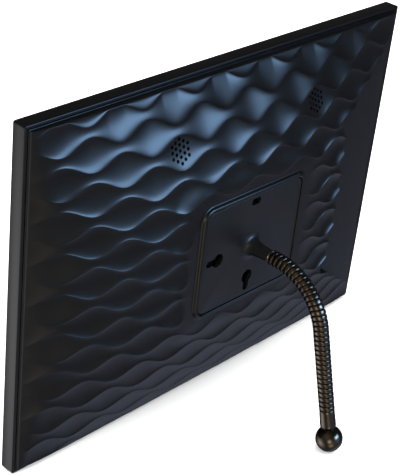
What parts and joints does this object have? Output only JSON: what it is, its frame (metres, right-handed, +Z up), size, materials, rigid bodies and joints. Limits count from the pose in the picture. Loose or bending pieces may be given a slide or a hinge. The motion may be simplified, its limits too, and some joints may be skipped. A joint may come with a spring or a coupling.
{
  "type": "digital photo frame",
  "caption": "Slim tabletop digital photo frame with a domed rear cover in wave relief, which leans on a ball-ended gooseneck fixed to a small plate with keyholes.",
  "frame": {"origin": "centre of the bounding box at its bottom, on the surface that the frame stands on", "axes": "+Z up, +X across the frame, the screen faces -Y and the gooseneck reaches to +Y"},
  "size_m": [0.282, 0.1134, 0.2005],
  "materials": {
    "satin_black": "satin black moulded plastic",
    "plate_black": "matt black moulded plastic",
    "lens_glass": "clear cover sheet with a dark tint",
    "screen": "dark screen that is switched off",
    "diffuser": "white diffuser sheet",
    "steel": "bare sheet steel",
    "gunmetal": "black chrome",
    "bright_ring": "bright plated ring",
    "rubber": "matt black rubber",
    "circuit_board": "green circuit board",
    "chip": "black moulded component",
    "cone": "coated paper cone",
    "magnet": "plated magnet",
    "foam": "foam gasket",
    "flex": "amber flat flex"
  },
  "bodies": {
    "housing": {"front_housing": "satin_black", "front_lens": "lens_glass", "lcd_panel": "screen", "backlight_unit": "diffuser", "chassis_plate": "steel", "lcd_ribbon": "flex", "main_board": "circuit_board", "soc_shield": "steel", "memory_chip": "chip", "wifi_antenna": "circuit_board", "rear_cover": "satin_black", "mount_plate": "plate_black", "backing_plate": "steel", "neck_stud": "steel", "neck_nut": "steel", "collar_ring": "bright_ring", "dc_jack": "chip", "usb_port": "steel", "card_slot": "steel", "button_switch": "chip", "rubber_foot_left": "rubber", "rubber_foot_right": "rubber", "neck_link_1": "gunmetal", "speaker_gasket_left": "foam", "speaker_frame_left": "chip", "speaker_cone_left": "cone", "speaker_magnet_left": "magnet", "speaker_gasket_right": "foam", "speaker_frame_right": "chip", "speaker_cone_right": "cone", "speaker_magnet_right": "magnet", "board_screw_1": "steel", "board_screw_2": "steel", "board_screw_3": "steel", "board_screw_4": "steel"},
    "button": {"power_button": "plate_black"},
    "neck_2": {"neck_link_2": "gunmetal"},
    "neck_3": {"neck_link_3": "gunmetal"},
    "neck_4": {"neck_link_4": "gunmetal"},
    "neck_5": {"neck_link_5": "gunmetal"},
    "neck_6": {"neck_link_6": "gunmetal"},
    "neck_7": {"neck_link_7": "gunmetal"},
    "neck_8": {"neck_link_8": "gunmetal"},
    "foot": {"neck_link_9": "gunmetal", "foot_sleeve": "gunmetal", "foot_ball": "gunmetal"}
  },
  "joints": [
    {"name": "power_press", "type": "slide", "parent": "housing", "child": "button", "axis": [1, 0, 0], "range_m": [0, 0.0008], "stiffness_N_per_m": 500},
    {"name": "neck_bend_1", "type": "hinge", "parent": "housing", "child": "neck_2", "pos_m": [0, 0.00878, 0.09695], "axis": [-1, 0, 0], "range_deg": [-18, 6]},
    {"name": "neck_sway_1", "type": "hinge", "parent": "neck_2", "child": "neck_3", "pos_m": [0, 0.01875, 0.09302], "axis": [0, 0.5055, 0.8628], "range_deg": [-18, 18]},
    {"name": "neck_bend_2", "type": "hinge", "parent": "neck_3", "child": "neck_4", "pos_m": [0, 0.02706, 0.08625], "axis": [-1, 0, 0], "range_deg": [-18, 6]},
    {"name": "neck_sway_2", "type": "hinge", "parent": "neck_4", "child": "neck_5", "pos_m": [0, 0.03293, 0.07728], "axis": [0, 0.9106, 0.4132], "range_deg": [-18, 18]},
    {"name": "neck_bend_3", "type": "hinge", "parent": "neck_5", "child": "neck_6", "pos_m": [0, 0.03598, 0.06699], "axis": [-1, 0, 0], "range_deg": [-18, 18]},
    {"name": "neck_sway_3", "type": "hinge", "parent": "neck_6", "child": "neck_7", "pos_m": [0, 0.03831, 0.05649], "axis": [0, 0.9763, 0.2164], "range_deg": [-18, 18]},
    {"name": "neck_bend_4", "type": "hinge", "parent": "neck_7", "child": "neck_8", "pos_m": [0, 0.04064, 0.04598], "axis": [-1, 0, 0], "range_deg": [-18, 18]},
    {"name": "neck_sway_4", "type": "hinge", "parent": "neck_8", "child": "foot", "pos_m": [0, 0.04297, 0.03548], "axis": [0, 0.9763, 0.2164], "range_deg": [-18, 18]}
  ]
}
